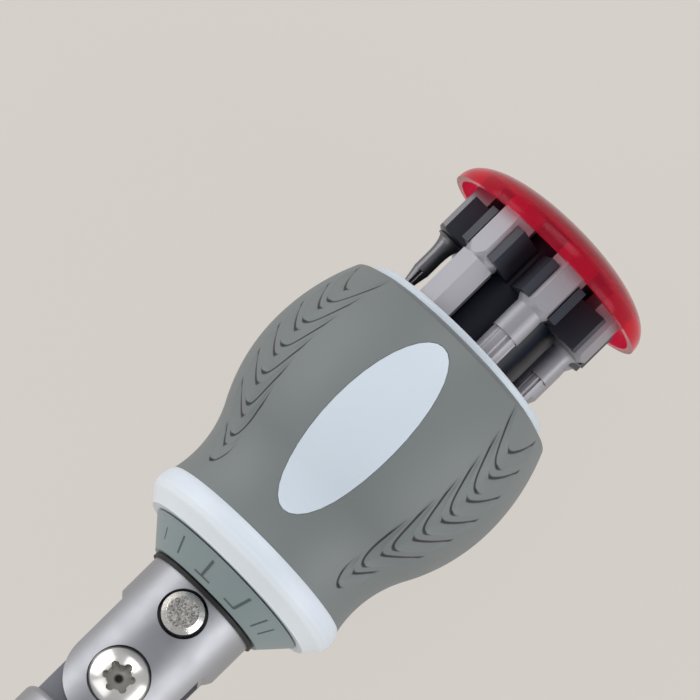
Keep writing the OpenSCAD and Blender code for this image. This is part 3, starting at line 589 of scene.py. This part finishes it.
def grip_skin():
    """The rubber grip as one fine skin with its chevrons and its two oval windows."""
    angles = skin_angles()
    r, z, crease_painted_shade = skin_grid(angles)
    turn = np.radians(angles)
    x, y = r * np.sin(turn), r * np.cos(turn)
    oval = np.hypot(x / PAD_W, (z - PAD_Z) / PAD_L).ravel()
    index = np.arange(r.size).reshape(r.shape)
    right = np.roll(index, -1, axis=1)
    quads = np.stack([index[:-1], right[:-1], right[1:], index[1:]], axis=-1).reshape(-1, 4)
    quads = quads[oval[quads].min(axis=1) >= OVAL_KEPT]
    points = np.stack([x.ravel(), y.ravel(), z.ravel()], axis=1).tolist()
    faces = open_windows(points, quads, oval)
    piece = mesh_piece("grip_skin", [place(*p) for p in points], faces, "grip_rubber", "handle")
    # Each point keeps how much shade is painted in its crease
    shade = piece.data.attributes.new("crease_shade", "FLOAT", "POINT")
    shade.data.foreach_set("value", crease_painted_shade.ravel().tolist() + [0.0] * (len(points) - crease_painted_shade.size))
    clean_mesh(piece, sharp=60)
    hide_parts("grip")


def dome(r, h, power, steps):
    """A domed outline from the cap's rim to its top, as (radius, station)."""
    out = []
    for i in range(steps + 1):
        a = math.pi / 2 * i / steps
        out.append((r * math.cos(a) ** (2 / power), CAP_Z - h * math.sin(a) ** (2 / power)))
    out[-1] = (0.0, CAP_Z - h)
    return out


def cap_shell():
    """The see-through cap, finer than the CAD's, with its flat ceiling over the column."""
    # Two circles just inside the flat rim's edges keep its shading crisp
    inset = 0.08
    outer = dome(CAP_R, CAP_H, CAP_POWER, steps=48)
    inner = [p for p in dome(CAP_IN_R, CAP_IN_H, CAP_IN_POWER, steps=40) if p[0] > CEILING_R]
    rim = [(CAP_R - inset, CAP_Z), (CAP_IN_R + inset, CAP_Z)]
    ceiling, stud_end = CAP_Z - CAP_IN_H, CAP_Z - STUD_END
    stud = [(CEILING_R, ceiling), (STUD_R, ceiling), (STUD_R, stud_end), (0.0, stud_end)]
    outline = outer[::-1] + rim + inner + stud
    piece = lathe("cap_shell", outline, "cap_plastic", "magazine", steps=192, sharp=40)
    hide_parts("cap")


# The white ring's side: shares of its height, and of its radius there
RING_SIDE = ((0, 0.958), (0.07, 0.978), (0.18, 0.992), (0.32, 1.0), (0.5, 1.0), (0.66, 0.98), (0.82, 0.93),
             (1, 0.877))
# The moving average that rounds off the side's straight steps, and the rows of the finer side
RING_AVERAGE = (-0.03, -0.015, 0, 0.015, 0.03)
RING_ROWS = 40
# The radii where the skin ends inside, at the grip and at the direction ring
RING_BACK_R, RING_FRONT_R = 16.5, 13.9


def collar_skin():
    """The white ring, with the CAD ring's side as one smooth curve."""
    heights, radii = zip(*RING_SIDE)
    side = []
    for i in range(RING_ROWS + 1):
        share = i / RING_ROWS
        spread = [np.interp(min(max(share + d, 0), 1), heights, radii) for d in RING_AVERAGE]
        side.append((RING_R * sum(spread) / len(spread), RING_Z + RING_H * share))
    outline = [(RING_BACK_R, RING_Z), (side[0][0], RING_Z)] + side + [(RING_FRONT_R, RING_Z + RING_H)]
    piece = lathe("collar_skin", outline, "ring_plastic", "handle", steps=180, sharp=50)
    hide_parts("collar_ring")


def lock_coil(turns=6.5, flat_turns=0.9, wire_r=0.3 * MM, per_turn=28, sides=10):
    """The button's coil spring, with closed ends."""
    low, high = (Vector(corner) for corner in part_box("lock_spring"))
    coil_r = (high.y - low.y) / 2 - wire_r
    middle = (low + high) / 2
    tall = high.z - low.z
    # How far an end turn climbs on the wire under it
    over = 2.2 * wire_r
    count = int(turns * per_turn)
    points, faces = [], []
    for i in range(count + 1):
        turn = turns * i / count
        # The first and last turns lie flat, so the climb is in the turns between them
        share = min(max((turn - flat_turns) / (turns - 2 * flat_turns), 0), 1)
        climb = low.z + wire_r + (tall - 2 * wire_r) * share
        started, left = min(turn, flat_turns) / flat_turns, min(turns - turn, flat_turns) / flat_turns
        lift = over * (started * (1 - share) - left * share)
        a = 2 * math.pi * turn
        for k in range(sides):
            b = 2 * math.pi * k / sides
            r = coil_r + wire_r * math.cos(b)
            points.append((middle.x + r * math.cos(a), middle.y + r * math.sin(a),
                           climb + lift + wire_r * math.sin(b)))
    for i in range(count):
        for k in range(sides):
            n = (k + 1) % sides
            faces.append((i * sides + k, i * sides + n, (i + 1) * sides + n, (i + 1) * sides + k))
    faces += [tuple(range(sides))[::-1], tuple(count * sides + k for k in range(sides))]
    spring = mesh_piece("lock_coil", points, faces, SLOT["lock_spring"], "drive")
    clean_mesh(spring, 50, MERGE)
    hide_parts("lock_spring")
    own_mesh(spring)


# The strokes on the direction ring, each as its angle, half its width in mm, its start and end as shares of
# the cone's height, and its lean in degrees. The last two here are short bars, and the even strokes are behind
STROKES = [(-57.0, 0.12, 0.35, 0.68, -2), (-36.0, 0.19, 0.25, 0.78, -2), (-8.5, 0.27, 0.22, 0.8, -1.5),
           (25.2, 0.27, 0.22, 0.8, 0), (45.0, 0.17, 0.25, 0.78, 1), (55.5, 0.15, 0.27, 0.75, 1.5),
           (-9.5, 1.7, 0.79, 0.84, 0), (20.0, 1.3, 0.79, 0.84, 0)]
STROKES += [(a, 0.22, 0.22, 0.8, 0) for a in (100, 130, 160, 200, 230, 260)]
# The paint's height over the cone, and the widest face of a stroke
PAINT, STROKE_FACE = 0.03, 0.15


def ring_mark(index, angle, half_w, start, end, lean):
    """One stroke on the direction ring's cone, between two shares of its height."""
    across = max(1, math.ceil(half_w / STROKE_FACE))
    points = []
    for share, turn in ((start, 0.0), (end, lean)):
        r = CONE_R + (CONE_END_R - CONE_R) * share + PAINT
        z = CONE_Z + CONE_H * share + PAINT
        for i in range(across + 1):
            a = math.radians(angle + turn) + (2 * i / across - 1) * half_w / r
            points.append(place(r * math.sin(a), r * math.cos(a), z))
    faces = [(i, i + 1, across + i + 2, across + i + 1) for i in range(across)]
    mesh_piece(f"ring_mark_{index}", points, faces, "selector_metal", "selector", False, "mark_paint")


grip_skin()
cap_shell()
collar_skin()
lock_coil()
for index, stroke in enumerate(STROKES, 1):
    ring_mark(index, *stroke)


# Floor, light and camera

# The floor lies just under the belly, in mm, and reaches this far each way, in metres
FLOOR_Z, FLOOR_HALF = -25.25, 3.0
# The share of the floor's look that is the plain ground; the rest keeps the shadow
GROUND_SHARE = 0.84
# The lamps face this point on the tool. Each has a place, width and height in metres, and a power in watts
LAMPS_AIM = (-0.1, 0, 0)
LAMPS = {
    "left_lamp": ((-0.1, -0.8, 0.36), 0.9, 0.6, 3.9),
    "right_lamp": ((-0.1, 0.85, 0.34), 0.9, 0.6, 4.5),
    "cap_lamp": ((-0.95, -0.05, 0.6), 0.6, 0.6, 2.8),
    "front_lamp": ((-0.42, -0.16, 1.0), 0.3, 0.3, 0.16),
    "tip_lamp": ((0.55, -0.25, 0.5), 0.6, 0.6, 1.3),
}
WORLD_STRENGTH = 0.45
# How the tool lies in the photograph, in degrees: turned in the picture, its axis tipped out of it, and rolled
# about that axis
TURN, TILT, ROLL = math.radians(45.5), math.radians(7.8), math.radians(5.3)
# In mm, and the nearest and farthest that the camera sees, in metres
LENS, SENSOR = 600.0, 36.0
NEAREST, FARTHEST = 0.01, 20
# In pixels: the picture's side, a millimetre across the tool, and where the middle of the handle's mouth falls
PICTURE = 700
SCALE = 6.0
MOUTH_X, MOUTH_Y = 459.4, 349.1


def floor():
    """Pale painted ground, seen plain by the camera, metal and glass, and lit as a floor for all else."""
    tree, colour = material("floor_paint", "aaa6a1")
    matt = add(tree, "BsdfPrincipled", Base_Color=colour, Roughness=0.9)
    ground = add(tree, "Emission", Color=linear("d4cfc9"), Strength=1.1)
    camera_ray = add(tree, "LightPath", "Is Camera Ray")
    rays = camera_ray.node.outputs
    mirrored = add(tree, "Math", operation="ADD", Value=[rays["Is Glossy Ray"], rays["Is Transmission Ray"]])
    seen = add(tree, "Math", operation="ADD", use_clamp=True, Value=[camera_ray, mirrored])
    share = add(tree, "Math", operation="MULTIPLY", Value=[seen, GROUND_SHARE])
    add(tree, "OutputMaterial", Surface=add(tree, "MixShader", Fac=share, Shader=[matt, ground]))
    mesh = bpy.data.meshes.new("floor")
    corners = [(x * FLOOR_HALF, y * FLOOR_HALF, FLOOR_Z * MM) for x, y in ((-1, -1), (1, -1), (1, 1), (-1, 1))]
    mesh.from_pydata(corners, [], [(0, 1, 2, 3)])
    mesh.materials.append(FINISH["floor_paint"])
    plane = bpy.data.objects.new("floor", mesh)
    bpy.context.scene.collection.objects.link(plane)


def lamp(name, where, wide, tall, power):
    """A soft rectangular lamp that faces the tool."""
    data = bpy.data.lights.new(name, "AREA")
    data.shape = "RECTANGLE"
    data.size = wide
    data.size_y = tall
    data.energy = power
    piece = bpy.data.objects.new(name, data)
    bpy.context.scene.collection.objects.link(piece)
    piece.location = where
    piece.rotation_euler = (Vector(LAMPS_AIM) - Vector(where)).to_track_quat("-Z", "Y").to_euler()


def studio():
    """The pale even room round the tool."""
    world = bpy.data.worlds.new("studio")
    bpy.context.scene.world = world
    world.use_nodes = True
    room = world.node_tree.nodes["Background"]
    room.inputs["Color"].default_value = linear("cfd0d3")
    room.inputs["Strength"].default_value = WORLD_STRENGTH
    bpy.context.scene.view_settings.view_transform = "Standard"


def camera():
    """The photograph's view: its frame is turned so that the tool's axis points down-left in it."""
    data = bpy.data.cameras.new("camera")
    eye = bpy.data.objects.new("camera", data)
    bpy.context.scene.collection.objects.link(eye)
    back = Vector((math.sin(TILT), math.cos(TILT) * math.sin(ROLL), math.cos(TILT) * math.cos(ROLL)))
    # The tool's axis in the picture, and the way across it
    down = Vector((1, 0, 0)) - back * back.x
    down.normalize()
    side = down.cross(back) * -1
    right = side * math.cos(TURN) - down * math.sin(TURN)
    up = back.cross(right)
    distance = LENS / SENSOR * PICTURE / SCALE * MM
    mouth = Vector(place(0, 0, 0))
    across, above = ((pixels - PICTURE / 2) / SCALE * MM for pixels in (MOUTH_X, MOUTH_Y))
    spot = mouth - right * across + up * above + back * distance
    data.lens = LENS
    data.sensor_width = SENSOR
    data.clip_start = NEAREST
    data.clip_end = FARTHEST
    eye.matrix_world = Matrix((
        (right.x, up.x, back.x, spot.x),
        (right.y, up.y, back.y, spot.y),
        (right.z, up.z, back.z, spot.z),
        (0, 0, 0, 1)))
    bpy.context.scene.camera = eye


floor()
for name, values in LAMPS.items():
    lamp(name, *values)
studio()
camera()
